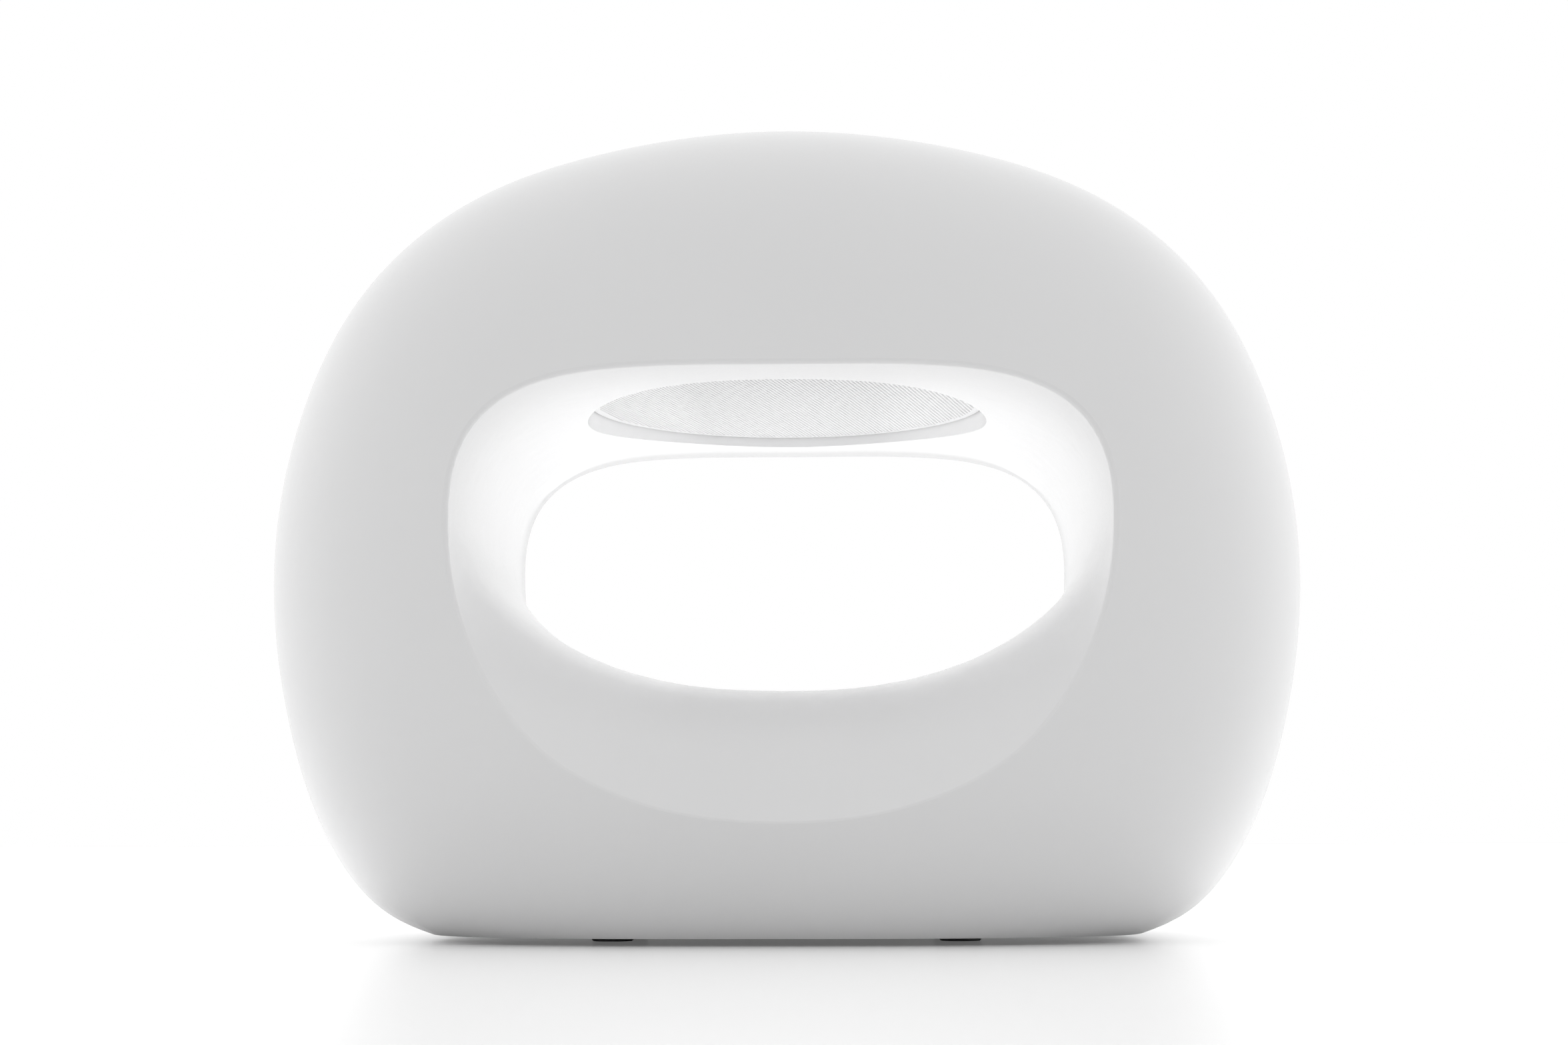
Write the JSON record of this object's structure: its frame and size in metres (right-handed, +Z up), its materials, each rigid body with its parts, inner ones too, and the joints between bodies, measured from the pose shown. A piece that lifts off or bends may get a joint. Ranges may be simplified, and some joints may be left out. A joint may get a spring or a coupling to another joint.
{
  "type": "outdoor speaker",
  "caption": "Hollow pebble-shaped outdoor speaker with a wide tunnel through it and a round grille in the tunnel ceiling, facing down.",
  "frame": {"origin": "on the ground, under the middle of the body, between its four feet", "axes": "+Z up, +X to the right seen from the front, -Y to the front, the tunnel runs along Y"},
  "size_m": [0.4496, 0.2514, 0.356],
  "materials": {
    "moulding": "satin white polyethylene",
    "grille_paint": "white powder coat",
    "ring_plastic": "white nylon",
    "basket_paint": "black powder coat",
    "rubber_black": "matt black rubber",
    "cone_material": "dark polypropylene",
    "former_foil": "thin foil",
    "copper_wire": "enamelled copper",
    "spider_cloth": "resin-treated cloth",
    "plated_steel": "zinc-plated",
    "stainless": "stainless steel",
    "ferrite": "fired ferrite",
    "brass_parts": "plain brass",
    "fibre_board": "hard paper",
    "cover_plastic": "grey moulded plastic",
    "gland_nylon": "light nylon",
    "block_nylon": "grey nylon",
    "cable_jacket": "black jacket"
  },
  "bodies": {
    "housing": {"body_shell": "moulding", "speaker_grille": "grille_paint", "grille_ring": "ring_plastic", "grille_ring_screws": "stainless", "driver_gasket": "rubber_black", "driver_basket": "basket_paint", "driver_screws": "stainless", "driver_inserts": "brass_parts", "surround": "rubber_black", "spider": "spider_cloth", "top_plate": "plated_steel", "magnet": "ferrite", "back_plate": "plated_steel", "driver_tag_strip": "fibre_board", "driver_tags": "brass_parts", "base_cover": "cover_plastic", "base_seal": "rubber_black", "base_screws": "stainless", "base_inserts": "brass_parts", "rubber_feet": "rubber_black", "foot_screws": "stainless", "gland_washer": "rubber_black", "gland_body": "gland_nylon", "gland_nut": "gland_nylon", "gland_cap": "gland_nylon", "gland_bush": "rubber_black", "terminal_block": "block_nylon", "terminal_screws": "plated_steel", "driver_cable": "cable_jacket"},
    "diaphragm": {"cone": "cone_material", "dust_cap": "cone_material", "voice_coil_former": "former_foil", "voice_coil": "copper_wire"}
  },
  "joints": [
    {"name": "cone_stroke", "type": "slide", "parent": "housing", "child": "diaphragm", "axis": [0, 0, 1], "range_m": [-0.004, 0.004], "stiffness_N_per_m": 1200, "deforming": ["surround", "spider"]}
  ]
}
